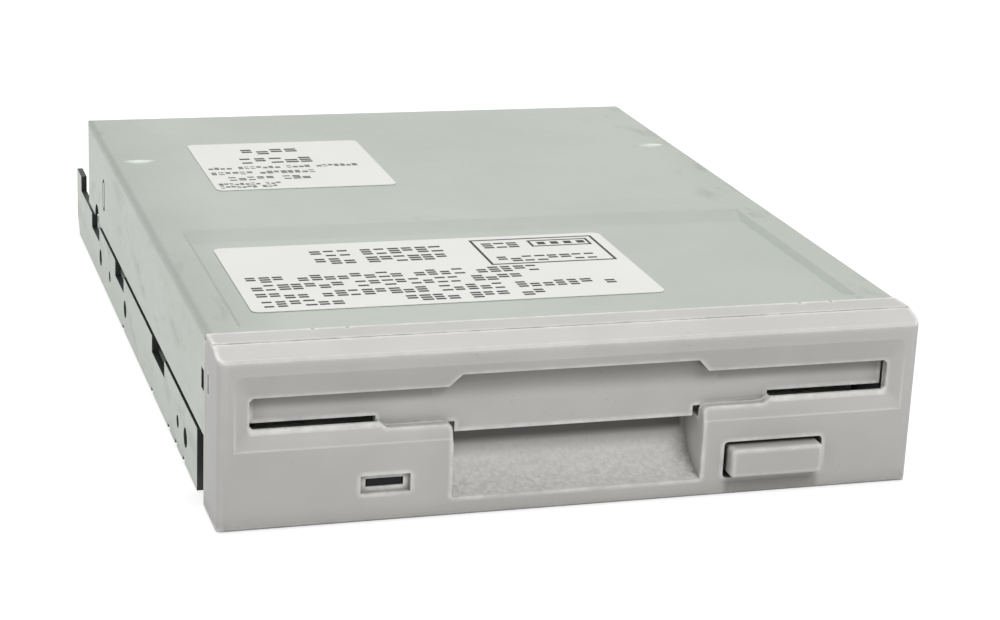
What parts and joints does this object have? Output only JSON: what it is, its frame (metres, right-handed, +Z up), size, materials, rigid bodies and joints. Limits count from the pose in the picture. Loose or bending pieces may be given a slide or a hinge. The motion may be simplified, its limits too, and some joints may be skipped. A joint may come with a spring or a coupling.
{
  "type": "floppy disk drive",
  "caption": "Slim removable-disk drive with a slotted bezel, inward-folding dust door, eject button, pressed steel chassis and cover over a full disk, spindle and head mechanism.",
  "frame": {"origin": "centre of the footprint on the resting plane", "axes": "+X to the right seen from the front, +Y from the front face to the rear, +Z up"},
  "size_m": [0.1016, 0.15, 0.0254],
  "materials": {
    "bezel_plastic": "fine moulded grain, light warm grey",
    "zinc_steel": "zinc coated sheet, satin",
    "bright_steel": "ground bright",
    "spring_steel": "drawn wire",
    "paper": "coated paper",
    "dark_plastic": "moulded dark",
    "white_plastic": "moulded ivory",
    "smoked_lens": "smoked clear",
    "board_green": "solder mask",
    "winding": "enamelled copper",
    "magnet": "bonded ferrite",
    "bronze": "sintered",
    "ceramic": "polished ferrite"
  },
  "bodies": {
    "frame": {"front_bezel": "bezel_plastic", "chassis": "zinc_steel", "top_cover": "zinc_steel", "stepper_motor": "zinc_steel", "stepper_bracket": "zinc_steel", "guide_rod": "bright_steel", "motor_screw_1": "bright_steel", "motor_screw_2": "bright_steel", "motor_screw_3": "bright_steel", "motor_screw_4": "bright_steel", "board_screw_1": "bright_steel", "board_screw_2": "bright_steel", "bracket_screw": "bright_steel", "door_spring": "spring_steel", "eject_spring_left": "spring_steel", "eject_spring_right": "spring_steel", "label_small": "paper", "label_large": "paper", "screw_bearing": "dark_plastic", "rod_clip_front": "dark_plastic", "rod_clip_rear": "dark_plastic", "track_zero_sensor": "dark_plastic", "controller_chip": "dark_plastic", "signal_connector": "dark_plastic", "density_switch": "dark_plastic", "write_protect_switch": "dark_plastic", "side_shield_left": "dark_plastic", "side_shield_right": "dark_plastic", "power_connector": "white_plastic", "activity_lamp": "white_plastic", "motor_cable": "white_plastic", "stepper_cable": "white_plastic", "lamp_window": "smoked_lens", "motor_board": "board_green", "main_board": "board_green", "stator": "winding", "spindle_bearing": "bronze"},
    "door": {"dust_door": "bezel_plastic"},
    "slide": {"slide_plate": "zinc_steel", "eject_button": "bezel_plastic"},
    "holder": {"disk_holder": "zinc_steel", "lever_pivot": "bright_steel"},
    "lever": {"shutter_lever": "zinc_steel"},
    "spindle": {"rotor_cup": "zinc_steel", "rotor_magnet": "magnet", "spindle_hub": "bright_steel", "drive_pin": "bright_steel"},
    "screw": {"lead_screw": "bright_steel"},
    "carriage": {"head_carriage": "dark_plastic", "follower_pin": "bright_steel", "lower_head": "ceramic"},
    "head_arm": {"upper_head_arm": "zinc_steel", "upper_head": "ceramic"},
    "density_key": {"density_plunger": "white_plastic"},
    "protect_key": {"write_protect_plunger": "white_plastic"}
  },
  "joints": [
    {"name": "door_hinge", "type": "hinge", "parent": "frame", "child": "door", "pos_m": [0, -0.0697, 0.022], "axis": [1, 0, 0], "range_deg": [0, 80], "stiffness_Nm_per_rad": 0.002, "springref_deg": -11.46},
    {"name": "eject_slide", "type": "slide", "parent": "frame", "child": "slide", "axis": [0, -1, 0], "range_m": [0, 0.0055], "deforming": ["eject_spring_left", "eject_spring_right"]},
    {"name": "holder_drop", "type": "slide", "parent": "frame", "child": "holder", "axis": [0, 0, -1], "range_m": [0, 0.0026]},
    {"name": "lever_swing", "type": "hinge", "parent": "holder", "child": "lever", "pos_m": [0.0411, 0.0225, 0.0204], "axis": [0, 0, -1], "range_deg": [0, 68.8]},
    {"name": "arm_drop", "type": "hinge", "parent": "carriage", "child": "head_arm", "pos_m": [0, 0.0468, 0.017], "axis": [1, 0, 0], "range_deg": [0, 12]},
    {"name": "head_seek", "type": "slide", "parent": "frame", "child": "carriage", "axis": [0, -1, 0], "range_m": [0, 0.01481]},
    {"name": "screw_turn", "type": "hinge", "parent": "frame", "child": "screw", "pos_m": [0.016, 0.031, 0.0104], "axis": [0, 1, 0], "range_deg": [0, 1423]},
    {"name": "spindle_spin", "type": "hinge", "parent": "frame", "child": "spindle", "pos_m": [0, -0.019, 0.0104], "axis": [0, 0, 1], "continuous": true},
    {"name": "density_press", "type": "slide", "parent": "frame", "child": "density_key", "axis": [0, 0, -1], "range_m": [0, 0.001], "stiffness_N_per_m": 200},
    {"name": "protect_press", "type": "slide", "parent": "frame", "child": "protect_key", "axis": [0, 0, -1], "range_m": [0, 0.001], "stiffness_N_per_m": 200}
  ],
  "couplings": [
    {"joint": "holder_drop", "follows": "eject_slide", "ratio": 0.4727},
    {"joint": "lever_swing", "follows": "eject_slide", "rad_per_m": 218.3},
    {"joint": "arm_drop", "follows": "eject_slide", "rad_per_m": 38.07},
    {"joint": "screw_turn", "follows": "head_seek", "rad_per_m": 1675.5}
  ]
}
